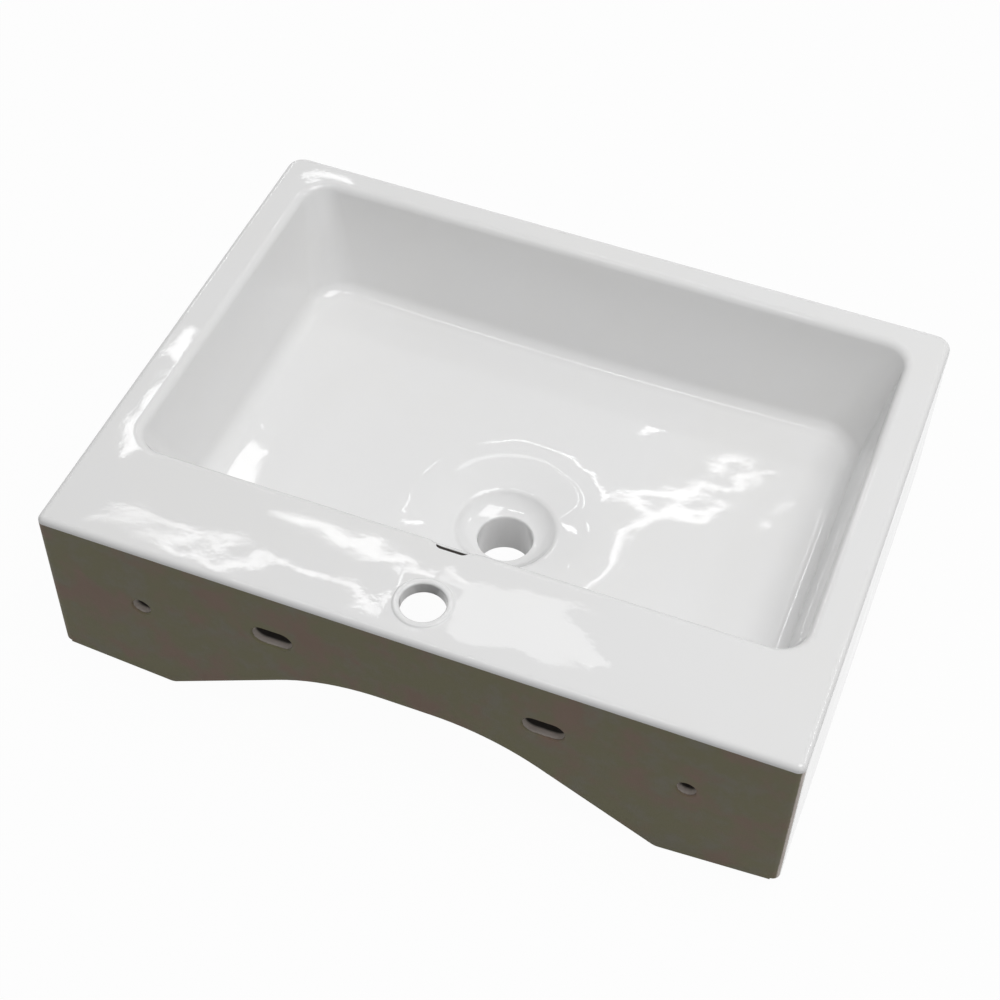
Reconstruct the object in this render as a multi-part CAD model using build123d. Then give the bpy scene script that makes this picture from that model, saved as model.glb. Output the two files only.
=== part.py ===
from build123d import *
from math import cos, radians, sin, tan
import os

# Millimetres. X runs along the wall, +Y points into the wall and +Z is up.
# The origin lies midway between the two wall slots, on the face that meets the wall.

# Outline of the whole basin
width = 600.0
projection = 455.0
deck_z = 55.0
skirt_height = 152.0
front_corner_r = 14.0
rear_corner_r = 6.5
least_corner_r = 1.0
top_edge_r = 5.0
skirt_edge = 2.5

# Thickness of the ceramic
deck_t = 10.0
skirt_t = 10.0
bowl_t = 10.0
panel_t = 12.0

# Bowl opening, measured at the deck, and the slope of each wall from upright
side_rim = 30.0
front_rim = 25.0
ledge_depth = 95.0
bowl_corner_r = 26.0
side_draft = 12.0
front_draft = 17.0
rear_draft = 18.0
opening_edge_r = 8.0
floor_edge_r = 16.0

# Floor: level along the walls, then a slight fall, then a funnel down to the waste seat
waste_y = -207.0
floor_depth = 94.5
fall_r = 150.0
fall_edge_r = 300.0
floor_fall = 2.3
funnel_r = 63.0
funnel_edge_r = 24.0
seat_depth = 107.0
seat_r = 42.0
seat_lip_r = 3.0
seat_dish = 13.0
seat_dish_r = 30.0
throat_r = 23.0
throat_edge = 2.0

# Block of ceramic under the seat, and the boss that the waste is tightened against
seat_wall = 10.0
seat_block_spread = 11.0
floor_t = 12.0
underside_edge = 14.0
boss_r = 36.0
boss_height = 30.0
boss_edge = 2.0

# Tap hole in the ledge, with a raised ring
tap_y = -36.0
tap_r = 17.5
tap_ring_r = 22.5
tap_ring_height = 1.2
tap_ring_edge = 0.9
tap_mouth = 1.6

# Overflow: a slot in the rounded rear edge of the opening, and the duct behind it
overflow_width = 26.0
overflow_height = 9.0
overflow_angle = 45.0
overflow_reach = 26.0
duct_width = 38.0
duct_depth = 15.0
duct_wall = 5.0
duct_bend_r = 12.0
duct_port_width = 22.0

# Wall panel: fixings and the arched lower edge
slot_spacing = 217.5
slot_length = 33.0
slot_width = 18.0
side_hole_spacing = 440.0
side_hole_drop = 15.5
side_hole_r = 7.5
hole_edge = 1.2
arch_crown_depth = 84.5
arch_crown_half = 20.0
arch_r = 180.0
arch_flank = 29.0
foot_slope = 5.2
foot_kink_r = 10.0

# Pads behind the slots, and the ribs that tie the panel to the bowl
pad_width = 58.0
pad_height = 42.0
pad_t = 8.0
pad_corner_r = 10.0
web_spacing = 330.0
web_t = 10.0
web_panel_drop = 80.0
web_bowl_drop = 52.0
web_sag = 10.0

bowl_width = width - 2 * side_rim
deck_under = deck_z - deck_t
skirt_z = deck_z - skirt_height
lip_z = deck_z - seat_depth
dish_z = lip_z - seat_dish
boss_top_z = dish_z - seat_wall
outlet_z = boss_top_z - boss_height
panel_half = width / 2 - rear_corner_r
panel_top = deck_z - top_edge_r
far = width + projection


def plan_outline(inset):
    """Rounded plan of the basin, moved inwards by inset."""
    sheet = Rectangle(width - 2 * inset, projection - 2 * inset)
    front = sheet.vertices().group_by(Axis.Y)[0]
    sheet = fillet(front, max(front_corner_r - inset, least_corner_r))
    rear = sheet.vertices().group_by(Axis.Y)[-1]
    sheet = fillet(rear, max(rear_corner_r - inset, least_corner_r))
    return Pos(0, -projection / 2) * sheet


def prism(plane, corners, length):
    """Bar whose section has these corners, centred on the plane."""
    with BuildPart() as part:
        with BuildSketch(plane):
            with BuildLine():
                Polyline(*corners, close=True)
            make_face()
        extrude(amount=length / 2, both=True)
    return part.part


def bowl_walls(wall):
    """Block between the bowl's four sloping walls, grown outwards by a wall thickness."""
    low = outlet_z
    ends = []
    for at_deck, draft in ((bowl_width / 2, side_draft), (projection - front_rim, front_draft),
                           (-ledge_depth, rear_draft)):
        top = at_deck + wall / cos(radians(draft))
        ends.append((top - (deck_z - low) * tan(radians(draft)), top))
    (side_low, side), (front_low, front), (rear_low, rear) = ends
    across = [(-side_low, low), (side_low, low), (side, deck_z), (-side, deck_z)]
    along = [(-front_low, low), (rear_low, low), (rear, deck_z), (-front, deck_z)]
    block = prism(Plane.XZ, across, 2 * far) & prism(Plane.YZ, along, 2 * far)
    upright = [e for e in block.edges() if e.bounding_box().size.Z > seat_depth]
    return fillet(upright, bowl_corner_r + wall)


def about_waste(section):
    """Solid of revolution about the waste's axis."""
    return revolve(Plane.XZ.offset(-waste_y) * section, Axis((0, waste_y, 0), (0, 0, 1)))


def perimeter(block):
    """Edges where the sloping walls meet the floor."""
    level = [e for e in block.edges() if e.bounding_box().max.Z < deck_under]
    return [e for e in level if (e.center() - Vector(0, waste_y, e.center().Z)).length > funnel_r]


def bowl_inside():
    """Everything that is empty inside the bowl, down through the throat."""
    floor_z = deck_z - floor_depth
    fall = (fall_r, floor_z)
    funnel = (funnel_r, floor_z - (fall_r - funnel_r) * tan(radians(floor_fall)))
    lip = (seat_r, lip_z)
    throat = (throat_r, dish_z)
    with BuildSketch() as section:
        with BuildLine():
            Polyline((far, far), (far, floor_z), fall, funnel, lip)
            RadiusArc(lip, throat, seat_dish_r)
            Polyline(throat, (throat_r, outlet_z), (0, outlet_z), (0, far), (far, far))
        make_face()
        for corner, radius in ((fall, fall_edge_r), (funnel, funnel_edge_r), (lip, seat_lip_r)):
            fillet(section.vertices().sort_by_distance(corner)[0], radius)
        chamfer(section.vertices().sort_by_distance(throat)[0], throat_edge)
    space = bowl_walls(0) & about_waste(section.sketch)
    return fillet(perimeter(space), floor_edge_r)


def bowl_outside():
    """The bowl as a full block, one wall thickness outside its inner surface."""
    under_z = deck_z - floor_depth - floor_t
    block_r = seat_r + seat_wall
    rim_r = block_r + seat_block_spread
    with BuildSketch() as section:
        with BuildLine():
            Polyline((far, under_z), (rim_r, under_z), (block_r, boss_top_z), (0, boss_top_z), (0, far),
                     (far, far), close=True)
        make_face()
    block = bowl_walls(bowl_t) & about_waste(section.sketch)
    return chamfer(perimeter(block), underside_edge)


def overflow_cutter():
    """Slot that runs down and back from the rounded rear edge of the opening."""
    slope = radians(overflow_angle)
    start = Vector(0, -ledge_depth + opening_edge_r, deck_z - opening_edge_r)
    mouth = start + Vector(0, -sin(slope), cos(slope)) * opening_edge_r * 2
    plane = Plane(origin=mouth, x_dir=(1, 0, 0), z_dir=(0, sin(slope), -cos(slope)))
    return extrude(plane * SlotOverall(overflow_width, overflow_height), overflow_reach + opening_edge_r)


def rim_and_skirt(inside, overflow):
    block = extrude(Pos(0, 0, skirt_z) * plan_outline(0), skirt_height)
    block = fillet(block.edges().group_by(Axis.Z)[-1], top_edge_r)
    block = chamfer(block.edges().group_by(Axis.Z)[0], skirt_edge)
    hollow = extrude(Pos(0, 0, skirt_z) * plan_outline(skirt_t), skirt_height - deck_t)
    rebate = Pos(0, -panel_t, panel_top) * Box(
        2 * panel_half, projection, far, align=(Align.CENTER, Align.MIN, Align.MAX))
    shell = block - hollow - rebate - inside
    top = shell.edges().group_by(Axis.Z)[-1]
    opening = [e for e in top if abs(e.center().X) < (width - side_rim) / 2
               and -projection + front_rim / 2 < e.center().Y < -ledge_depth / 2]
    shell = fillet(opening, opening_edge_r)
    ring = Pos(0, tap_y, deck_under) * Cylinder(
        tap_ring_r, deck_t + tap_ring_height, align=(Align.CENTER, Align.CENTER, Align.MIN))
    ring = chamfer(ring.edges().group_by(Axis.Z)[-1], tap_ring_edge)
    bore = Pos(0, tap_y, deck_under) * Cylinder(tap_r, far)
    shell = shell + ring - bore
    mouth = shell.edges().group_by(Axis.Z)[-1].sort_by(SortBy.RADIUS)[0]
    shell = chamfer(mouth, tap_mouth)
    return shell - overflow


def bowl(inside, outside, overflow):
    below = Pos(0, 0, deck_under) * Box(far * 2, far * 2, far, align=(Align.CENTER, Align.CENTER, Align.MAX))
    return (outside & below) - inside - overflow


def fixing_plane(y):
    """Upright plane facing the wall, whose Y is up."""
    return Plane(origin=(0, y, 0), x_dir=(1, 0, 0), z_dir=(0, -1, 0))


def paired(outline, spacing, drop, depth):
    """Two copies of an outline, side by side, cut from the wall face to a depth."""
    pair = [Pos(side * spacing / 2, -drop) * outline for side in (-1, 1)]
    return extrude(fixing_plane(0) * (Sketch() + pair), depth)


def wall_slots(depth):
    """The two slots for the wall bolts."""
    return paired(SlotOverall(slot_length, slot_width), slot_spacing, 0, depth)


def panel_outline():
    """Half of the panel's outline, from the middle of its top to the crown of the arch."""
    flank = radians(arch_flank)
    slope = radians(foot_slope)
    crown_z = deck_z - arch_crown_depth
    bend = (arch_crown_half + arch_r * sin(flank), crown_z - arch_r * (1 - cos(flank)))
    kink_x = (bend[1] + bend[0] * tan(flank) - skirt_z + panel_half * tan(slope)) / (tan(flank) + tan(slope))
    kink = (kink_x, skirt_z - (panel_half - kink_x) * tan(slope))
    over = (arch_crown_half + arch_r * sin(flank / 2), crown_z - arch_r * (1 - cos(flank / 2)))
    with BuildSketch() as sketch:
        with BuildLine():
            edge = Polyline((0, panel_top), (panel_half, panel_top), (panel_half, skirt_z), kink, bend)
            fillet(edge.vertices().sort_by_distance((*kink, 0))[0], foot_kink_r)
            ThreePointArc(bend, over, (arch_crown_half, crown_z))
            Line((arch_crown_half, crown_z), (0, crown_z))
            Line((0, crown_z), (0, panel_top))
        make_face()
        mirror(about=Plane.YZ)
    return sketch.sketch


def wall_panel():
    panel = extrude(fixing_plane(0) * panel_outline(), panel_t)
    holes = paired(Circle(side_hole_r), side_hole_spacing, side_hole_drop, panel_t)
    panel = panel - wall_slots(panel_t) - holes
    face = panel.faces().sort_by(Axis.Y)[-1]
    mouths = [e for wire in face.inner_wires() for e in wire.edges()]
    return chamfer(mouths, hole_edge)


def slot_pad(side):
    pad = extrude(fixing_plane(-panel_t) * RectangleRounded(pad_width, pad_height, pad_corner_r), pad_t)
    pad = Pos(side * slot_spacing / 2) * pad
    return pad - wall_slots(panel_t + pad_t)


def web(side, outside):
    panel_y = -panel_t
    bowl_y = -ledge_depth - opening_edge_r
    low = deck_z - web_panel_drop
    high = deck_z - web_bowl_drop
    middle = ((panel_y + bowl_y) / 2, (low + high) / 2 + web_sag)
    with BuildPart() as part:
        with BuildSketch(Plane.YZ.offset(side * web_spacing / 2 - web_t / 2)):
            with BuildLine():
                Polyline((panel_y, low), (panel_y, deck_under), (bowl_y, deck_under), (bowl_y, high))
                ThreePointArc((bowl_y, high), middle, (panel_y, low))
            make_face()
        extrude(amount=web_t)
    return part.part - outside


def duct_block(depth, span, foot_z, top_z, bend_r):
    """Bent bar that runs down behind the bowl and forward under it, reaching depth outside its wall."""
    lean = tan(radians(rear_draft))
    skin = (bowl_t + depth) / cos(radians(rear_draft)) - ledge_depth
    heel = (skin - (deck_z - foot_z) * lean, foot_z)
    crown = (skin - (deck_z - top_z) * lean, top_z)
    toe_z = deck_z - floor_depth
    with BuildPart() as part:
        with BuildSketch(Plane.YZ.offset(-span / 2)):
            with BuildLine():
                edge = Polyline(crown, heel, (waste_y, foot_z), (waste_y, toe_z),
                                (-ledge_depth - bowl_t - opening_edge_r, top_z), close=True)
                fillet(edge.vertices().sort_by_distance((*heel, 0))[0], bend_r)
            make_face()
        extrude(amount=span)
    return part.part


def overflow_duct(outside, boss):
    casing = duct_block(duct_depth, duct_width, outlet_z, deck_under, duct_bend_r)
    passage = duct_block(duct_depth - duct_wall, duct_width - 2 * duct_wall, outlet_z + duct_wall, deck_under,
                         duct_bend_r - duct_wall)
    return casing - passage - outside - boss


def boss_blank():
    return Pos(0, waste_y, outlet_z) * Cylinder(
        boss_r, boss_height, align=(Align.CENTER, Align.CENTER, Align.MIN))


def waste_boss(inside):
    port = Pos(0, waste_y, outlet_z + duct_wall) * Box(
        duct_port_width, far, boss_height, align=(Align.CENTER, Align.MIN, Align.MIN))
    ring = chamfer(boss_blank().edges().group_by(Axis.Z)[0], boss_edge)
    return ring - inside - port


inside = bowl_inside()
outside = bowl_outside()
overflow = overflow_cutter()
blank = boss_blank()
nodes = {
    "rim_and_skirt": rim_and_skirt(inside, overflow),
    "bowl": bowl(inside, outside, overflow),
    "wall_panel": wall_panel(),
    "slot_pad_left": slot_pad(-1),
    "slot_pad_right": slot_pad(1),
    "web_left": web(-1, outside),
    "web_right": web(1, outside),
    "overflow_duct": overflow_duct(outside, blank),
    "waste_boss": waste_boss(inside),
}
os.makedirs("parts", exist_ok=True)
for name, piece in nodes.items():
    export_step(piece, f"parts/{name}.step")
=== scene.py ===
import bmesh
import bpy
import numpy as np
from math import radians, tan
from mathutils import Euler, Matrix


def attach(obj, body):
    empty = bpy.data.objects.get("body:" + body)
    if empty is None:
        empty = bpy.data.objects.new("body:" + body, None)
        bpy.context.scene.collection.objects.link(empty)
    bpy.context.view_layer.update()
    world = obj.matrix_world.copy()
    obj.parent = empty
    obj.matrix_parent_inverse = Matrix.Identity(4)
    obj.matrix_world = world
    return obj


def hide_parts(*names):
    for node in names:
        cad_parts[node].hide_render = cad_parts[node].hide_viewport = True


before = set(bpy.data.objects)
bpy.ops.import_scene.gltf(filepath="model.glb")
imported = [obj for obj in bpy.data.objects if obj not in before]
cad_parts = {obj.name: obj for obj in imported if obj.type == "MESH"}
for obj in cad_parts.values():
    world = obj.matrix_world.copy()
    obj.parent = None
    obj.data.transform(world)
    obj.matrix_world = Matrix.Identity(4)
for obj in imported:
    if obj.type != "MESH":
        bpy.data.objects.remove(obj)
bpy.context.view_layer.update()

print("frame loaded:", ", ".join(sorted(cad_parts)))
mm = 0.001
scene = bpy.context.scene


class Socket:
    # wraps one output socket, so that a material is written as sums and products
    def __init__(self, tree, out):
        self.tree, self.out = tree, out

    def math(self, operation, *others):
        return node(self.tree, "ShaderNodeMath", {"operation": operation}, [self, *others])

    def __add__(self, other): return self.math("ADD", other)
    def __radd__(self, other): return self.math("ADD", other)
    def __sub__(self, other): return self.math("SUBTRACT", other)
    def __mul__(self, other): return self.math("MULTIPLY", other)
    def __rmul__(self, other): return self.math("MULTIPLY", other)

    def __rsub__(self, other):
        return node(self.tree, "ShaderNodeMath", {"operation": "SUBTRACT"}, [other, self])

    def step(self, low, high, outLow=0.0, outHigh=1.0):
        # smooth step of this value between low and high
        return node(self.tree, "ShaderNodeMapRange", {"interpolation_type": "SMOOTHSTEP"},
                    {"Value": self, "From Min": low, "From Max": high, "To Min": outLow, "To Max": outHigh})


def node(tree, kind, settings=None, inputs=None, output=0):
    # one node: its type, its settings first, then the values or links of its sockets
    made = tree.nodes.new(kind)
    for name, value in (settings or {}).items():
        setattr(made, name, value)
    pairs = enumerate(inputs) if isinstance(inputs, (list, tuple)) else (inputs or {}).items()
    for name, value in pairs:
        join(tree, made.inputs[name], value)
    return Socket(tree, made.outputs[output]) if made.outputs else made


def join(tree, target, value):
    # a link where the value is a socket, else the plain value
    if isinstance(value, Socket):
        tree.links.new(value.out, target)
    else:
        target.default_value = value


def mixColour(tree, share, first, second):
    # the first colour where share is 0, the second where it is 1; 6, 7 and 2 are the colour sockets
    return node(tree, "ShaderNodeMix", {"data_type": "RGBA"}, {0: share, 6: first, 7: second}, output=2)


def noise(tree, place, scale, detail=2.0, rough=0.5):
    # plain noise in the object's own metres, between 0 and 1
    return node(tree, "ShaderNodeTexNoise", None,
                {"Vector": place, "Scale": scale, "Detail": detail, "Roughness": rough})


def newMaterial(name):
    # a material with one Principled shader, read in the object's own coordinates
    material = bpy.data.materials.new(name)
    material.use_nodes = True
    tree = material.node_tree
    place = node(tree, "ShaderNodeTexCoord", output=3)  # its Object output
    return material, tree, tree.nodes["Principled BSDF"], place


def feed(tree, shader, values):
    # sets or links the shader's named sockets
    for name, value in values.items():
        join(tree, shader.inputs[name], value)


# Camera, where the photograph was taken from: behind the basin and above it
camera = {"lens": 70.35, "shift": (-0.047, 0.0256), "place": (-0.34949, 0.75457, 1.19100),
          "turn": (39.5488, -2.0415, -159.4604)}
cameraData = bpy.data.cameras.new("camera")
cameraData.lens = camera["lens"]
cameraData.shift_x, cameraData.shift_y = camera["shift"]
cameraObject = bpy.data.objects.new("camera", cameraData)
scene.collection.objects.link(cameraObject)
cameraObject.location = camera["place"]
cameraObject.rotation_euler = Euler([radians(a) for a in camera["turn"]])
scene.camera = cameraObject
scene.view_settings.view_transform = "Standard"
print("camera set")

# Studio: a soft sky that looks white to the camera and in reflections, and softboxes that the glaze mirrors
studio = {"zenith": 0.51, "horizon": 0.13, "below": 0.10, "lean": 0.30, "lowStep": (-0.3, 0.1),
          "highStep": (0.05, 0.9)}
# each softbox: its shape, middle, size, tilt in degrees, and how bright it is where the glaze mirrors it
softboxes = {
    "top": ("RECTANGLE", (-0.85, -0.25, 2.05), (1.20, 1.20), (0, -15, 0), 4.8),
    "over": ("RECTANGLE", (0.42, 0.12, 2.00), (0.80, 0.12), (0, 0, 0), 8.0),
    "left": ("RECTANGLE", (1.20, -1.55, 1.05), (0.10, 0.50), (45, 45, 0), 9.0),
    "right": ("RECTANGLE", (-1.55, -1.30, 1.35), (0.12, 0.40), (30, -50, 0), 8.0),
    "band": ("ELLIPSE", (0.78, -1.086, 1.60), (0.64, 0.016), (0, 0, 1), 6.5),
    "patch": ("ELLIPSE", (0.66, -1.185, 1.60), (0.30, 0.030), (0, 0, -4), 6.5),
    "tap": ("ELLIPSE", (0.49, -1.150, 1.60), (0.10, 0.020), (0, 0, 0), 6.5),
    "lobe": ("ELLIPSE", (0.29, -1.125, 1.60), (0.32, 0.110), (0, 0, -6), 2.2),
    "lobe_far": ("ELLIPSE", (0.33, -1.158, 1.60), (0.24, 0.018), (0, 0, -8), 6.0),
    "lobe_near": ("ELLIPSE", (0.27, -1.082, 1.60), (0.24, 0.012), (0, 0, -4), 6.0),
    "rim": ("ELLIPSE", (1.125, -1.37, 1.60), (0.07, 0.30), (0, 0, 0), 6.5),
    "front": ("ELLIPSE", (1.08, -2.035, 1.60), (0.12, 0.035), (0, 0, 0), 5.5),
    "floor_far": ("ELLIPSE", (0.41, -1.715, 1.60), (0.30, 0.045), (0, 0, 9), 6.5),
    "floor_near": ("ELLIPSE", (0.28, -1.57, 1.60), (0.46, 0.026), (0, 0, 33), 6.5),
    "floor_left": ("ELLIPSE", (0.883, -1.411, 1.60), (0.06, 0.10), (0, 0, 0), 5.0),
}
world = bpy.data.worlds.new("studio")
scene.world = world
world.use_nodes = True
tree = world.node_tree
tree.nodes.clear()
view = node(tree, "ShaderNodeTexCoord")
sideways, height = (node(tree, "ShaderNodeSeparateXYZ", None, {0: view}, output=i) for i in (0, 2))
# the sky steps up at the horizon and again towards the zenith, and is weaker on the +X side
low = height.step(*studio["lowStep"], studio["below"], studio["horizon"])
high = height.step(*studio["highStep"], 0.0, studio["zenith"] - studio["horizon"])
skyLevel = (1 - sideways * studio["lean"]) * (low + high)


def seenDirectly(tree):
    # 1 for rays from the camera, off a glossy surface or through glass, and 0 for the light that falls
    rays = tree.nodes.new("ShaderNodeLightPath")
    direct = Socket(tree, rays.outputs["Is Camera Ray"])
    for name in ("Is Glossy Ray", "Is Transmission Ray"):
        direct = direct.math("MAXIMUM", Socket(tree, rays.outputs[name]))
    return direct


seen = seenDirectly(tree)
sky = node(tree, "ShaderNodeBackground", None,
           {"Color": (1, 1, 1, 1), "Strength": skyLevel * (1 - seen) + seen})
node(tree, "ShaderNodeOutputWorld", None, {0: sky})
for name, (shape, middle, size, tilt, bright) in softboxes.items():
    lamp = bpy.data.lights.new("softbox_" + name, "AREA")
    lamp.shape = shape
    lamp.size, lamp.size_y = size
    # power is brightness times pi times area, and an ellipse fills pi / 4 of its box
    lamp.energy = bright * np.pi * size[0] * size[1] * (1 if shape == "RECTANGLE" else np.pi / 4)
    lampObject = bpy.data.objects.new("softbox_" + name, lamp)
    scene.collection.objects.link(lampObject)
    lampObject.location = middle
    lampObject.rotation_euler = [radians(a) for a in tilt]
print("studio lit")


# Surfaces. Every loop round the basin has the same columns: the left rear corner, the left side,
# the front, the right side and the right rear corner, and then the rear side back to the start.
columns = {"corner": 14, "side": 30, "front": 44, "rearWide": 22, "rearTap": 5, "rearMiddle": 20,
           "tapHalf": 26.0, "overflowHalf": 18.0}


def ringLoop(halfWidth, front, rear, frontR, rearR):
    # rounded rectangle: four quarter arcs joined by straight sides, counted anticlockwise from above
    def arc(centreX, centreY, radius, start):
        turn = np.radians(start + np.linspace(0, 90, columns["corner"] + 1))
        return np.stack([centreX + radius * np.cos(turn), centreY + radius * np.sin(turn)], 1)

    def straight(start, end, count):
        share = np.linspace(0, 1, count + 1)[1:-1, None]
        return np.array(start) * (1 - share) + np.array(end) * share

    # along the rear side, a and b are the ends of the tap's and the overflow's blocks, c the arc's end
    x, a, b, c = halfWidth, columns["tapHalf"], columns["overflowHalf"], halfWidth - rearR
    rearX = np.concatenate([np.linspace(c, a, columns["rearWide"] + 1)[1:-1],
                            np.linspace(a, b, columns["rearTap"] + 1)[:-1],
                            np.linspace(b, -b, columns["rearMiddle"] + 1)[:-1],
                            np.linspace(-b, -a, columns["rearTap"] + 1)[:-1],
                            np.linspace(-a, -c, columns["rearWide"] + 1)[:-1]])
    return np.concatenate([
        arc(-x + rearR, rear - rearR, rearR, 90),
        straight((-x, rear - rearR), (-x, front + frontR), columns["side"]),
        arc(-x + frontR, front + frontR, frontR, 180),
        straight((-x + frontR, front), (x - frontR, front), columns["front"]),
        arc(x - frontR, front + frontR, frontR, 270),
        straight((x, front + frontR), (x, rear - rearR), columns["side"]),
        arc(x - rearR, rear - rearR, rearR, 0),
        np.stack([rearX, np.full(len(rearX), rear)], 1)])


arcCount = columns["corner"]
# column numbers: the end of the right rear arc, then the ends of the tap's and the overflow's blocks
lastCorner = 4 * (arcCount + 1) + 2 * (columns["side"] - 1) + columns["front"] - 2
firstTap = lastCorner + columns["rearWide"]
firstOverflow = firstTap + columns["rearTap"]
lastOverflow = firstOverflow + columns["rearMiddle"]
lastTap = lastOverflow + columns["rearTap"]
rearCount = lastTap + columns["rearWide"] - lastCorner - 1
# outward direction of each column: it turns through the corner arcs and is square to the sides
turnAt = np.concatenate([
    np.linspace(90, 180, arcCount + 1), np.full(columns["side"] - 1, 180.0),
    np.linspace(180, 270, arcCount + 1), np.full(columns["front"] - 1, 270.0),
    np.linspace(270, 360, arcCount + 1), np.full(columns["side"] - 1, 360.0),
    np.linspace(360, 450, arcCount + 1), np.full(rearCount, 450.0)])
outward = np.stack([np.cos(np.radians(turnAt)), np.sin(np.radians(turnAt))], 1)


def lift(loop, z):
    # a plan loop at height z, which may differ along it
    return np.column_stack([loop, np.broadcast_to(z, len(loop))])


def quads(rows, closed=False, skip=None):
    # faces of a grid of rows by columns, without the block that skip gives as row and column ranges
    count, across = rows.shape[:2]
    index = np.arange(count * across).reshape(count, across)
    if closed:
        index = np.concatenate([index, index[:, :1]], 1)
    faces = np.stack([index[:-1, :-1], index[:-1, 1:], index[1:, 1:], index[1:, :-1]], -1)
    keep = np.ones(faces.shape[:2], bool)
    for r0, r1, c0, c1 in skip or ():
        keep[r0:r1, c0:c1] = False
    return faces[keep]


def border(r0, r1, c0, c1):
    # row and column numbers round a block of the grid, once round
    top = [(r0, c) for c in range(c0, c1)]
    right = [(r, c1) for r in range(r0, r1)]
    bottom = [(r1, c) for c in range(c1, c0, -1)]
    left = [(r, c0) for r in range(r1, r0, -1)]
    return np.array(top + right + bottom + left)


weld = {"merge": 5e-6, "sliver": 2e-6, "sharp": 40.0}  # metres, metres and degrees


def buildPiece(name, grids, flats=()):
    # joins grids of (rows, faces, material number) and flat ends, in millimetres, into one closed mesh
    points, faces, finishes, start = [], [], [], 0
    for rows, cells, finish in grids:
        points.append(rows.reshape(-1, 3))
        faces += (cells + start).tolist()
        finishes += [finish] * len(cells)
        start += rows.size // 3
    for outline, finish in flats:
        points.append(outline)
        faces.append(list(range(start, start + len(outline))))
        finishes.append(finish)
        start += len(outline)
    mesh = bpy.data.meshes.new(name)
    mesh.from_pydata(np.concatenate(points) * mm, [], faces)
    mesh.polygons.foreach_set("material_index", finishes)
    work = bmesh.new()
    work.from_mesh(mesh)
    bmesh.ops.remove_doubles(work, verts=work.verts, dist=weld["merge"])
    bmesh.ops.dissolve_degenerate(work, edges=work.edges, dist=weld["sliver"])
    bmesh.ops.recalc_face_normals(work, faces=work.faces)
    openEdges = sum(len(e.link_faces) != 2 for e in work.edges)
    work.to_mesh(mesh)
    work.free()
    mesh.shade_smooth()
    mesh.set_sharp_from_angle(angle=radians(weld["sharp"]))
    piece = bpy.data.objects.new(name, mesh)
    scene.collection.objects.link(piece)
    print(f"{name}: {len(mesh.polygons)} faces, {openEdges} open edges")
    return piece


# Shape of the basin, in millimetres; the deck is the flat top
basin = {"halfWidth": 300.0, "depth": 455.0, "deck": 55.0, "foot": -97.0, "frontCorner": 14.0,
         "rearCorner": 6.5, "wall": 10.0, "panel": 12.0, "edge": 5.0}
opening = {"halfWidth": 270.0, "front": -430.0, "rear": -95.0, "corner": 22.0, "cornerGrowth": 0.14,
           "sideSlope": 12.0, "frontSlope": 17.0, "rearSlope": 18.0, "edge": 8.0, "seam": 10.0}
deck, under = basin["deck"], basin["deck"] - basin["wall"]


def openingLoop(depth):
    # the bowl's outline at a depth under the deck, where its sloping walls stand further in
    corner = opening["corner"] + opening["cornerGrowth"] * depth
    return ringLoop(opening["halfWidth"] - depth * tan(radians(opening["sideSlope"])),
                    opening["front"] + depth * tan(radians(opening["frontSlope"])),
                    opening["rear"] - depth * tan(radians(opening["rearSlope"])), corner, corner)


openingTop = openingLoop(0)
fall = (openingLoop(100) - openingTop) / 100  # plan move of the wall for each millimetre down
slope = -(fall * outward).sum(1)  # the part of that move which is square to the wall
lean = np.arctan(slope)


def wallLoop(depth):
    # the bowl's wall in plan at a depth, which may differ along it
    return openingTop + fall * np.asarray(depth).reshape(-1, 1)


# Rim and skirt: the deck with its tap hole and overflow, and the outer walls
rim = {"deckRows": 24, "tapRear": -12.0, "tapFront": -60.0, "beforeOverflow": -71.0, "overflowRow": -82.0,
       "edgeRows": 8, "openingRows": 14, "seamRows": (7.2, 9.0), "underFirst": 0.3, "flat": 0.6,
       "tight": 0.2, "tap": -36.0, "tapUnder": (17.5, 21.0),
       "tapProfile": ((24.0, 0), (23.3, 0.05), (22.9, 0.25), (22.6, 0.6), (22.2, 0.95), (21.6, 1.17),
                      (21.0, 1.2), (19.6, 1.2), (18.9, 1.12), (18.3, 0.85), (17.8, 0.35), (17.55, -0.2),
                      (17.5, -0.8), (17.5, -9.2), (17.5, -10.0)),
       "slotHalf": 8.5, "slotR": 4.5, "slotAxis": (-87.0, 47.0), "slotEdge": 1.3, "slotSpread": 1.6,
       "slotLip": 3.0, "slotDepth": 12.0, "slotDrop": (0, -20.35, -51.15), "skirtRows": 12,
       "footRound": 2.5, "footInside": 20.0}


def outerLoop(inset, rear=None):
    # the basin's outline moved inwards
    return ringLoop(basin["halfWidth"] - inset, -basin["depth"] + inset, -inset if rear is None else rear,
                    max(basin["frontCorner"] - inset, 1.0), max(basin["rearCorner"] - inset, 1.0))


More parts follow.
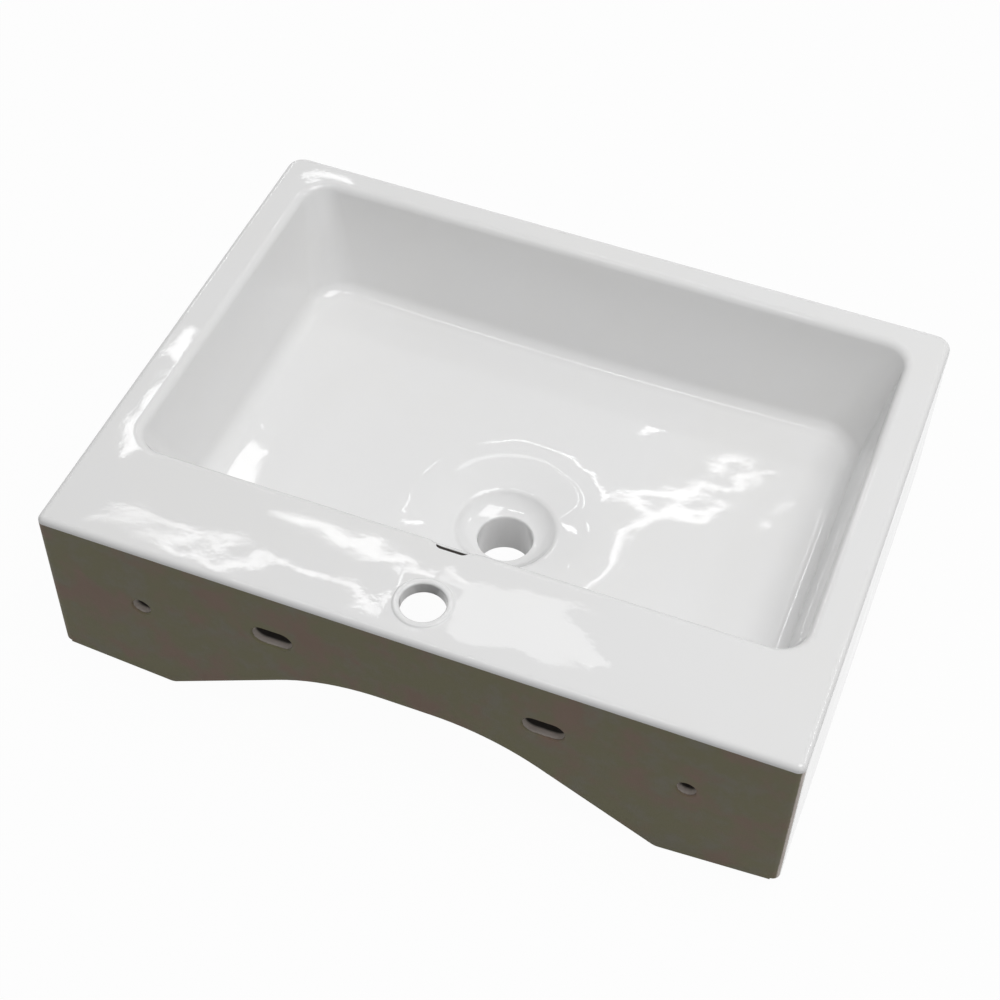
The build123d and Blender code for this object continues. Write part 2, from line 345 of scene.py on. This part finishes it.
def makeRim():
    # loops carried from the top of the skirt over the edge, across the deck, round into the opening and
    # back under the deck; a block of that grid makes room for the tap hole and one for the overflow
    edge, radius = basin["edge"], opening["edge"]
    # outer edge: a quarter circle from the skirt up to the deck
    rows = [lift(outerLoop(0), deck - edge), lift(outerLoop(0), deck - edge + rim["tight"])]
    for turn in np.radians(np.linspace(0, 90, rim["edgeRows"] + 1)[1:]):
        rows.append(lift(outerLoop(edge * (1 - np.cos(turn))), deck - edge + edge * np.sin(turn)))
    # deck: straight from the outer edge's rounding to the opening's rounding
    reach = radius * np.tan(np.pi / 4 - lean / 2)  # how far that rounding reaches onto the deck
    outerEnd = outerLoop(edge + rim["flat"])
    innerEnd = openingTop + outward * (reach + rim["flat"])[:, None]
    rearStart, rearEnd = outerEnd[-1, 1], innerEnd[-1, 1]

    def share(y):
        # how far along the deck the rear side is at y
        return (y - rearStart) / (rearEnd - rearStart)

    steps = np.concatenate([
        [0.0], np.linspace(share(rim["tapRear"]), share(rim["tapFront"]), rim["deckRows"] + 1),
        [share(rim["beforeOverflow"])], np.linspace(share(rim["overflowRow"]), 1, 4)])
    firstDeck = len(rows)
    for step in steps:
        rows.append(lift(outerEnd * (1 - step) + innerEnd * step, deck))
    tapTop, overflowTop = firstDeck + 1, firstDeck + 1 + rim["deckRows"] + 2
    # the opening's rounding: an arc from straight up to the wall's own direction
    for step in np.linspace(0, 1, rim["openingRows"] + 1):
        turn = np.pi / 2 + step * (np.pi / 2 - lean)
        out = reach + radius * np.cos(turn)
        rows.append(lift(openingTop + outward * out[:, None], deck - radius + radius * np.sin(turn)))
    for depth in (*rim["seamRows"], opening["seam"]):
        rows.append(lift(wallLoop(np.full(len(openingTop), depth)), deck - depth))
    overflowEnd = len(rows) - 2
    seamLoop = rows[-1][:, :2]
    hollow = outerLoop(basin["wall"], rear=-basin["panel"])
    lastGlazed = len(rows) - 1
    # underside of the deck
    back, far = seamLoop[-1, 1], hollow[-1, 1]
    steps = np.linspace((rim["tapFront"] - back) / (far - back), 1, rim["deckRows"] + 1)
    steps = np.concatenate([[rim["underFirst"]], steps])
    tapUnder = len(rows) + 1
    for step in steps:
        rows.append(lift(seamLoop * (1 - step) + hollow * step, under))
    rows = np.stack(rows)
    tapEnd, underEnd = tapTop + rim["deckRows"], tapUnder + rim["deckRows"]
    cells = quads(rows, True, [(tapTop, tapEnd, firstTap, lastTap),
                               (overflowTop, overflowEnd, firstOverflow, lastOverflow),
                               (tapUnder, underEnd, firstTap, lastTap)])
    rowOf = cells[:, 0] // rows.shape[1]
    grids = [(rows, cells[rowOf < lastGlazed], 0), (rows, cells[rowOf >= lastGlazed], 1)]

    # tap hole: rings from the block's border to the raised ring, down the bore and out below
    centre = np.array([0.0, rim["tap"]])

    def circle(blockBorder, radius, z):
        # a circle round the tap hole, with a point in the direction of each point of the border
        away = blockBorder[:, :2] - centre
        away /= np.linalg.norm(away, axis=1)[:, None]
        return lift(centre + away * radius, z)

    around = border(tapTop, tapEnd, firstTap, lastTap)
    top = rows[around[:, 0], around[:, 1]]
    around = border(tapUnder, underEnd, firstTap, lastTap)[::-1]
    below = rows[around[:, 0], around[:, 1]]
    # the underside's border is turned to start at the same corner as the deck's
    start = np.argmin(np.linalg.norm(below[:, :2] - top[0, :2], axis=1))
    below = np.roll(below, -start, axis=0)
    rings = [top] + [circle(top, r, deck + z) for r, z in rim["tapProfile"]]
    patch = np.stack(rings + [circle(below, r, under) for r in rim["tapUnder"]] + [below])
    cells = quads(patch, True)
    rowOf = cells[:, 0] // patch.shape[1]
    bore = len(rings) - 1
    grids += [(patch, cells[rowOf < bore], 0), (patch, cells[rowOf >= bore], 1)]

    # overflow: the border and the slot's outline are seen along the slot's own axis, 45 degrees down
    section = rows[overflowTop - 2:overflowEnd + 2, firstOverflow + 5, 1:]
    roundStart = rearEnd + rim["flat"]
    fine = np.linspace(0, np.pi / 2 - lean[-1], 200)
    arc = np.stack([roundStart - radius * np.sin(fine), deck - radius + radius * np.cos(fine)], 1)
    section = np.concatenate([section[:1], [[roundStart, deck]], arc, section[-3:]])
    half = np.sqrt(0.5)  # sine and cosine of 45 degrees
    axisY, axisZ = rim["slotAxis"]
    high = ((section[:, 0] - axisY) + (section[:, 1] - axisZ)) * half
    order = np.argsort(high)

    def onSurface(x, t):
        # points of the rounded edge at x along the slot and t across it
        y, z = (np.interp(t, high[order], section[order, i]) for i in (0, 1))
        return np.stack([x, y, z], -1)

    around = border(overflowTop, overflowEnd, firstOverflow, lastOverflow)
    edgePoints = rows[around[:, 0], around[:, 1]]
    x = edgePoints[:, 0]
    t = ((edgePoints[:, 1] - axisY) + (edgePoints[:, 2] - axisZ)) * half
    # the rings keep the border's spread of points along the slot's outline
    way = np.arctan2(t * rim["slotSpread"], x)

    def outline(grow):
        # points of the slot, a straight run with half-round ends, grown outwards
        r = rim["slotR"] + grow
        c, s = np.cos(way), np.sin(way)
        flat = r / np.maximum(np.abs(s), 1e-9)
        h = rim["slotHalf"]
        ends = h * np.abs(c) + np.sqrt(np.maximum(r * r - (h * s) ** 2, 0))
        reachOut = np.where(flat * np.abs(c) <= h, flat, ends)
        return reachOut * c, reachOut * s

    rings = [edgePoints]
    grownX, grownT = outline(rim["slotEdge"])
    for step in (0.35, 0.7, 0.9, 1.0):
        rings.append(onSurface(x * (1 - step) + grownX * step, t * (1 - step) + grownT * step))
    axis = np.array([0, half, -half])
    for turn in np.radians([18, 36, 54, 72, 90]):
        sx, st = outline(rim["slotEdge"] * (1 - np.sin(turn)))
        rings.append(onSurface(sx, st) + axis * rim["slotEdge"] * (1 - np.cos(turn)))
    mouth = onSurface(*outline(0))
    rings.append(mouth + axis * rim["slotLip"])
    # the passage is square to its axis from here on, and then bends down inside the duct
    reached = ((mouth[:, 1] - axisY) - (mouth[:, 2] - axisZ)) * half
    square = mouth + axis * (rim["slotDepth"] - reached)[:, None]
    rings += [square, square + np.array(rim["slotDrop"])]
    patch = np.stack(rings)
    cells = quads(patch, True)
    rowOf = cells[:, 0] // patch.shape[1]
    glazedRings = len(rings) - 4
    # past the slot's lip, the passage and its blind end get painted shade (finish 2)
    grids += [(patch, cells[rowOf < glazedRings], 0), (patch, cells[rowOf >= glazedRings], 2)]
    flats = [(patch[-1], 2)]

    # rear of the rim, behind the panel's top edge
    rear = np.concatenate([np.arange(lastCorner, rows.shape[1]), [0]])
    outerRear, hollowRear = rows[0][rear], rows[-1][rear]
    ledge = outerRear.copy()
    ledge[:, 1] = -basin["panel"]
    patch = np.stack([hollowRear, ledge, outerRear])
    grids.append((patch, quads(patch), 1))

    # skirt: down the outside, round the foot and up the inside, with a flat end at each side of the panel
    keep = np.arange(0, lastCorner + 1)
    foot, curve = basin["foot"], rim["footRound"]
    outside = [(0.0, z) for z in np.linspace(deck - edge, foot + curve + rim["tight"], rim["skirtRows"])]
    for turn in np.radians([0, 22.5, 45, 67.5, 90]):
        outside.append((curve * (1 - np.cos(turn)), foot + curve * (1 - np.sin(turn))))
    skirt = []
    for inset, z in outside:
        ring = lift(outerLoop(inset), z)[keep]
        ends = [[s * (basin["halfWidth"] - basin["rearCorner"]), -basin["panel"], z] for s in (-1, 1)]
        skirt.append(np.concatenate([ends[:1], ring, ends[1:]]))
    outsideRows = len(skirt)
    for z in (foot, foot + rim["footInside"], under):
        ring = lift(hollow, z)[keep]
        skirt.append(np.concatenate([ring[:1], ring, ring[-1:]]))
    skirt = np.stack(skirt)
    cells = quads(skirt)
    rowOf = cells[:, 0] // skirt.shape[1]
    grids += [(skirt, cells[rowOf < outsideRows - 1], 0), (skirt, cells[rowOf >= outsideRows - 1], 1)]
    for end in (0, -1):
        flats.append((skirt[:, end], 1))
    return buildPiece("glazed_rim", grids, flats)


# Bowl: sloping walls, a floor that falls to a funnel, the dished seat and the throat
bowl = {"waste": (0.0, -207.0), "coneEdge": 72.0, "coneDepth": 100.0, "coneFall": 1.9, "funnelFall": 13.1,
        "blend": 6.0, "floorEdge": 16.0, "footGuess": 95.0, "rounds": 12,
        "wallShares": (0, 0.1, 0.5, 0.9, 0.98), "lip": 42.0, "lipReach": 3.2, "dish": 13.0,
        "dishCurve": 30.0, "dishSteps": 17, "throat": 23.0,
        "throatBend": 3.0, "floorRows": 40, "crowding": 0.85, "edgeRows": 14, "wall": 10.0,
        "underside": 106.5, "bevel": 14.0, "block": 52.0, "blockFoot": 63.0, "blockTop": 130.0}


def floorDepth(radius):
    # a slight cone beyond the funnel's edge, and the funnel's extra fall blended in inside it
    inner = (bowl["coneEdge"] - radius) / bowl["blend"]
    extra = (tan(radians(bowl["funnelFall"])) - tan(radians(bowl["coneFall"]))) * bowl["blend"]
    cone = bowl["coneDepth"] - tan(radians(bowl["coneFall"])) * (radius - bowl["coneEdge"])
    return cone + extra * np.logaddexp(0, inner)


def softCorner(before, point, after, steps):
    # a smooth bend from before to after that is drawn towards the corner point
    t = np.linspace(0, 1, steps + 1)[:, None]
    before, point, after = np.array(before), np.array(point), np.array(after)
    return list((1 - t) ** 2 * before + 2 * t * (1 - t) * point + t ** 2 * after)


def makeBowl():
    # straight sloping walls, a circle from each to the floor, a floor whose depth follows the distance
    # to the waste, a turned profile for the dish, and the same loops moved outwards for the outside
    waste, size = np.array(bowl["waste"]), bowl["floorEdge"]
    count = len(openingTop)

    def fromWaste(plan):
        # distance to the waste's axis
        return np.linalg.norm(plan - waste, axis=1)

    # foot is the depth where wall and floor would meet. The circle between them touches each at its
    # radius over the tangent of half their angle from there, and a few rounds settle both
    foot, out = np.full(count, bowl["footGuess"]), np.full(count, size)
    for _ in range(bowl["rounds"]):
        base = wallLoop(foot)
        touch = base - outward * out[:, None]
        level = floorDepth(fromWaste(touch))
        grade = (floorDepth(fromWaste(touch - outward)) - floorDepth(fromWaste(touch + outward))) / 2
        foot = 0.5 * foot + 0.5 * (level - grade * (slope * foot + out)) / (1 - grade * slope)
        up = np.stack([-slope, -np.ones(count)], 1) / np.sqrt(1 + slope ** 2)[:, None]
        along = np.stack([np.ones(count), grade], 1) / np.sqrt(1 + grade ** 2)[:, None]
        between = np.arccos((up * along).sum(1))
        run = size / np.tan(between / 2)
        out = run / np.sqrt(1 + grade ** 2)
    base = wallLoop(foot)
    middle = up + along
    middle /= np.linalg.norm(middle, axis=1)[:, None]
    centre = middle * (size / np.sin(between / 2))[:, None]
    first, last = up * run[:, None] - centre, along * run[:, None] - centre
    startTurn = np.arctan2(first[:, 1], first[:, 0])
    sweep = (np.arctan2(last[:, 1], last[:, 0]) - startTurn + np.pi) % (2 * np.pi) - np.pi
    rows = []
    top = foot + centre[:, 1] + first[:, 1]  # depth at which the wall ends
    for step in bowl["wallShares"]:
        depth = opening["seam"] * (1 - step) + top * step
        rows.append(lift(wallLoop(depth), deck - depth))
    for step in np.linspace(0, 1, bowl["edgeRows"] + 1):
        turn = startTurn + sweep * step
        s = centre[:, 0] + size * np.cos(turn)
        d = centre[:, 1] + size * np.sin(turn)
        rows.append(lift(base - outward * s[:, None], deck - foot - d))
    # floor: straight towards the waste, at the depth that the distance gives
    away = rows[-1][:, :2] - waste
    far = np.linalg.norm(away, axis=1)
    away /= far[:, None]
    lip = bowl["lip"] + bowl["lipReach"]
    for step in np.linspace(0, 1, bowl["floorRows"] + 1)[1:] ** bowl["crowding"]:
        radius = far * (1 - step) + lip * step
        rows.append(lift(waste + away * radius[:, None], deck - floorDepth(radius)))
    # lip, dish and throat, as a profile turned about the waste's axis
    lipDepth = floorDepth(np.array(bowl["lip"]))
    start = np.array([bowl["lip"], lipDepth])
    end = np.array([bowl["throat"], lipDepth + bowl["dish"]])
    chord = end - start
    half = np.linalg.norm(chord) / 2
    side = np.array([-chord[1], chord[0]]) / (2 * half)
    if side[1] > 0:
        side = -side
    hub = (start + end) / 2 + side * np.sqrt(bowl["dishCurve"] ** 2 - half ** 2)
    turn = np.linspace(np.arctan2(*(start - hub)[::-1]), np.arctan2(*(end - hub)[::-1]), bowl["dishSteps"])
    arc = hub + bowl["dishCurve"] * np.stack([np.cos(turn), np.sin(turn)], 1)
    lipStart, bend = np.array([lip, floorDepth(np.array(lip))]), bowl["throatBend"]
    profile = softCorner(lipStart, start, arc[2], 8) + list(arc[3:-2])
    profile += softCorner(arc[-2], end, end + [0, bend], 6)
    profile += [end + [0, 1.1 * bend], (bowl["throat"], bowl["blockTop"])]
    for radius, depth in profile:
        rows.append(lift(waste + away * radius, deck - depth))
    glazed = len(rows) - 1
    # outside of the bowl
    for radius, depth in ((bowl["block"], bowl["blockTop"]), (bowl["blockFoot"], bowl["underside"])):
        rows.append(lift(waste + away * radius, deck - depth))
    shell = outward * (bowl["wall"] / np.cos(lean))[:, None]
    base = wallLoop(np.full(count, bowl["underside"])) + shell - outward * bowl["bevel"]
    rows.append(lift(base, deck - bowl["underside"]))
    for depth in (bowl["underside"] - bowl["bevel"], opening["seam"]):
        rows.append(lift(wallLoop(np.full(count, depth)) + shell, deck - depth))
    rows.append(rows[0])
    rows = np.stack(rows)
    cells = quads(rows, True)
    rowOf = cells[:, 0] // rows.shape[1]
    return buildPiece("glazed_bowl", [(rows, cells[rowOf < glazed], 0), (rows, cells[rowOf >= glazed], 1)])


# Overflow duct: a rounded casing from under the rim, down behind the bowl and forward to the waste
# line: height, half width and depth behind the bowl's wall
duct = {"line": ((45, 19.0, 15.0), (25, 15.5, 13.5), (5, 12.5, 11.5), (-20, 11.5, 10.0), (-60, 11.5, 10.0),
                 (-84, 12.0, 10.0)),
        "rows": 26, "bendRows": 10, "reachRows": 6, "inWall": 5.0, "innerFoot": 104.0, "sink": 38.0,
        "bend": 17.0, "reach": -174.0, "square": 3.6, "ringPoints": 40}


def makeDuct():
    # each section is a rounded rectangle between a line inside the bowl's wall and the casing's outer line
    heights, halves, depths = np.array(duct["line"]).T
    z = np.linspace(heights[0], heights[-1], duct["rows"])
    half, depth = np.interp(z, heights[::-1], halves[::-1]), np.interp(z, heights[::-1], depths[::-1])
    tilt = radians(opening["rearSlope"])
    wallY = opening["rear"] - (deck - z) * tan(tilt)
    outer = np.stack([wallY + (bowl["wall"] + depth) / np.cos(tilt), z], 1)
    inner = np.stack([wallY + duct["inWall"], np.maximum(z, deck - duct["innerFoot"])], 1)
    # the outer line bends forward on a circle and then runs level
    turn = np.linspace(tilt, np.pi / 2, duct["bendRows"])[1:]
    hub = outer[-1] - duct["bend"] * np.array([np.cos(tilt), -np.sin(tilt)])
    bend = hub + duct["bend"] * np.stack([np.cos(turn), -np.sin(turn)], 1)
    run = np.linspace(0, 1, duct["reachRows"])[1:, None]
    straight = bend[-1] * (1 - run) + np.array([duct["reach"], bend[-1, 1]]) * run
    outer = np.concatenate([outer, bend, straight])
    # the inner line keeps pace with it, and sinks to pass under the seat
    bendStart = outer[len(z) - 1, 0]
    drop = (outer[len(z):, 0] - bendStart) / (duct["reach"] - bendStart)
    y = inner[-1, 0] + drop * (duct["reach"] - inner[-1, 0])
    inner = np.concatenate([inner, np.stack([y, inner[-1, 1] - duct["sink"] * drop], 1)])
    half = np.concatenate([half, np.full(len(y), half[-1])])
    # a section's points: cosine and sine to a power below 1, which squares up the circle
    around = np.linspace(0, 2 * np.pi, duct["ringPoints"], endpoint=False)
    across = np.sign(np.cos(around)) * np.abs(np.cos(around)) ** (2 / duct["square"])
    share = (1 + np.sign(np.sin(around)) * np.abs(np.sin(around)) ** (2 / duct["square"])) / 2
    plane = inner[:, None] * (1 - share)[None, :, None] + outer[:, None] * share[None, :, None]
    rows = np.concatenate([(half[:, None] * across)[:, :, None], plane], 2)
    return buildPiece("overflow_casing", [(rows, quads(rows, True), 0)], [(rows[0], 0), (rows[-1], 0)])


rimPiece = makeRim()
bowlPiece = makeBowl()
ductPiece = makeDuct()

# Finishes
glaze = {"colour": (0.805, 0.805, 0.805, 1), "warm": (0.800, 0.798, 0.793, 1), "cloudSize": 7.0,
         "cloudStep": (0.35, 0.68), "roughness": 0.02, "waveSize": 12.0, "waveHeight": 0.0011,
         "peelSize": 240.0, "peelHeight": 0.00001, "ior": 1.5}
engobe = {"olive": (0.160, 0.148, 0.080, 1), "rust": (0.194, 0.134, 0.098, 1),
          "grey": (0.182, 0.168, 0.124, 1), "roughness": 0.62, "greyStep": (0.42, 0.7),
          "rustStep": (0.46, 0.66), "rustSize": 21.0, "skin": (-1.6, -0.7), "deep": (-4.6, -7.4)}
# shaded and lessShaded are painted shade, for the holes, the overflow passage and the pads' slots
clay = {"light": (0.78, 0.71, 0.66, 1), "dark": (0.66, 0.59, 0.54, 1), "shaded": (0.045, 0.040, 0.035, 1),
        "lessShaded": (0.07, 0.06, 0.052, 1), "darkStep": (0.3, 0.7), "roughness": 0.85, "patchSize": 38.0,
        "speckSize": 420.0, "grainHeight": 0.0003}
# where the pads get painted shade: within slotHalf of the slot's middle height, blurred, and in front of the
# back face
pad = {"slotHalf": 9.2, "blur": 0.3, "backFace": (-19.9, -19.8)}


def glazeFinish(name):
    # white glaze: faint clouding, long shallow waves in the surface and a fine orange peel
    material, tree, shader, place = newMaterial(name)
    cloud = noise(tree, place, glaze["cloudSize"], 3.0, 0.6).step(*glaze["cloudStep"])
    waves = noise(tree, place, glaze["waveSize"], 2.0, 0.35)
    peel = noise(tree, place, glaze["peelSize"], 2.0, 0.5)
    long = node(tree, "ShaderNodeBump", None,
                {"Strength": 1.0, "Distance": glaze["waveHeight"], "Height": waves})
    fine = node(tree, "ShaderNodeBump", None,
                {"Strength": 1.0, "Distance": glaze["peelHeight"], "Height": peel, "Normal": long})
    feed(tree, shader, {"Base Color": mixColour(tree, cloud, glaze["colour"], glaze["warm"]),
                        "Roughness": cloud * 0.02 + glaze["roughness"], "Normal": fine, "IOR": glaze["ior"]})
    return material


def clayFinish(name, engobed):
    # bare fired clay; where engobed, a brown wash lies on the face towards the wall, and deeper in its holes
    # the clay is painted dark as shade
    material, tree, shader, place = newMaterial(name)
    patch = noise(tree, place, clay["patchSize"], 5.0, 0.65)
    speck = noise(tree, place, clay["speckSize"], 3.0, 0.7)
    bare = mixColour(tree, patch.step(*clay["darkStep"]), clay["light"], clay["dark"])
    colour = bare
    if engobed:
        rusty = noise(tree, place, engobe["rustSize"], 4.0, 0.6).step(*engobe["rustStep"])
        brown = mixColour(tree, patch.step(*engobe["greyStep"]), engobe["olive"], engobe["grey"])
        brown = mixColour(tree, rusty, brown, engobe["rust"])
        y = node(tree, "ShaderNodeSeparateXYZ", None, {0: place}, output=1) * (1 / mm)
        # the wash covers the face and its lips; deeper in the holes the clay gets painted shade
        skin = (y + speck).step(*engobe["skin"])
        # deep is the mask of that painted shade, growing with depth behind the face
        deep = (y + patch * 1.5).step(*engobe["deep"])
        colour = mixColour(tree, skin, mixColour(tree, deep, bare, clay["shaded"]), brown)
    grain = node(tree, "ShaderNodeBump", None,
                 {"Strength": 0.5, "Distance": clay["grainHeight"], "Height": speck})
    rough = patch * 0.12 + (engobe if engobed else clay)["roughness"]
    feed(tree, shader, {"Base Color": colour, "Roughness": rough, "Normal": grain})
    return material


def throatFinish(name):
    # bare clay outside, and white glaze on the bore of the waste
    material, tree, shader, place = newMaterial(name)
    x, y = (node(tree, "ShaderNodeSeparateXYZ", None, {0: place}, output=i) for i in (0, 1))
    back = y - bowl["waste"][1] * mm
    radius = (x * x + back * back).math("SQRT")
    inside = radius.step((bowl["throat"] + 1.5) * mm, (bowl["throat"] + 0.8) * mm)
    patch = noise(tree, place, 16.0, 4.0, 0.6)
    bare = mixColour(tree, patch.step(*clay["darkStep"]), clay["light"], clay["dark"])
    feed(tree, shader, {"Base Color": mixColour(tree, inside, bare, glaze["colour"]),
                        "Roughness": inside * (glaze["roughness"] - clay["roughness"]) + clay["roughness"]})
    return material


def paintedShadeFinish(name, slotHalf=None):
    # painted shade on clay: all over, or only in the wall slots, within slotHalf of their middle height
    material, tree, shader, place = newMaterial(name)
    patch = noise(tree, place, clay["patchSize"], 4.0, 0.6)
    colour = mixColour(tree, patch, clay["shaded"], clay["lessShaded"])
    if slotHalf:
        y, z = (node(tree, "ShaderNodeSeparateXYZ", None, {0: place}, output=i) * (1 / mm) for i in (1, 2))
        # inside the wall slots the clay gets painted shade, and elsewhere it stays bare
        slotShade = z.math("ABSOLUTE").step(slotHalf + pad["blur"], slotHalf) * y.step(*pad["backFace"])
        bare = mixColour(tree, patch.step(*clay["darkStep"]), clay["light"], clay["dark"])
        colour = mixColour(tree, slotShade, bare, colour)
    feed(tree, shader, {"Base Color": colour, "Roughness": patch * 0.1 + clay["roughness"]})
    return material


# the overflow passage is all painted shade, and the pads get painted shade in their slots
throatClay = throatFinish("throat_clay")
passageShade = paintedShadeFinish("passage_painted_shade")
padClayShaded = paintedShadeFinish("pad_clay_painted_shade", pad["slotHalf"])
whiteGlaze = glazeFinish("white_glaze")
bareClay = clayFinish("bare_clay", False)
brownClay = clayFinish("brown_clay", True)
for piece, name, finishes in (
        (rimPiece, "rim_and_skirt", (whiteGlaze, bareClay, passageShade, brownClay)),
        (bowlPiece, "bowl", (whiteGlaze, bareClay)), (ductPiece, "overflow_duct", (bareClay,))):
    for finish in finishes:
        piece.data.materials.append(finish)
    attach(piece, "root")
    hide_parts(name)
# The brown wash runs round the upright rear corners: on the faces that turn at least this much to the
# back and lie behind this y, beyond this x to either side and under this z
corners = {"turnedBack": 0.3, "fromBack": -6.6, "fromSide": 293.4, "below": 49.5, "finish": 3}
skirt = rimPiece.data
centres, normals = np.empty(3 * len(skirt.polygons)), np.empty(3 * len(skirt.polygons))
marks = np.empty(len(skirt.polygons), int)
skirt.polygons.foreach_get("center", centres)
skirt.polygons.foreach_get("normal", normals)
skirt.polygons.foreach_get("material_index", marks)
centres, facing = centres.reshape(-1, 3) / mm, normals[1::3]
washed = ((facing > corners["turnedBack"]) & (centres[:, 1] > corners["fromBack"])
          & (abs(centres[:, 0]) > corners["fromSide"]) & (centres[:, 2] < corners["below"]))
marks[washed] = corners["finish"]
skirt.polygons.foreach_set("material_index", marks)
skirt.update()
print("washed corner faces:", int(washed.sum()))
for name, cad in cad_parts.items():
    if cad.hide_render:
        continue
    finish = {"wall_panel": brownClay, "waste_boss": throatClay, "slot_pad_left": padClayShaded,
              "slot_pad_right": padClayShaded}.get(name, bareClay)
    cad.data.materials.clear()
    cad.data.materials.append(finish)
print("finishes on")

# Floor: nearly white to the camera and in reflections, with a faint trace of the basin's shadow
floor = {"z": -0.1063, "half": 6.0, "colour": (0.50, 0.50, 0.50, 1), "roughness": 0.9, "glow": 0.97}
mesh = bpy.data.meshes.new("studio_floor")
plan = ((-1, -1), (1, -1), (1, 1), (-1, 1))
mesh.from_pydata([(x * floor["half"], y * floor["half"], floor["z"]) for x, y in plan], [], [(0, 1, 2, 3)])
floorObject = bpy.data.objects.new("studio_floor", mesh)
scene.collection.objects.link(floorObject)
material = bpy.data.materials.new("studio_floor")
material.use_nodes = True
tree = material.node_tree
shader = tree.nodes["Principled BSDF"]
shader.inputs["Base Color"].default_value = floor["colour"]
shader.inputs["Roughness"].default_value = floor["roughness"]
shader.inputs["Specular IOR Level"].default_value = 0.0
glow = node(tree, "ShaderNodeEmission", None, {"Color": (1, 1, 1, 1), "Strength": 1.0})
mixed = node(tree, "ShaderNodeMixShader", None,
             {0: seenDirectly(tree) * floor["glow"], 1: Socket(tree, shader.outputs[0]), 2: glow})
tree.links.new(mixed.out, tree.nodes["Material Output"].inputs["Surface"])
mesh.materials.append(material)
print("floor laid")
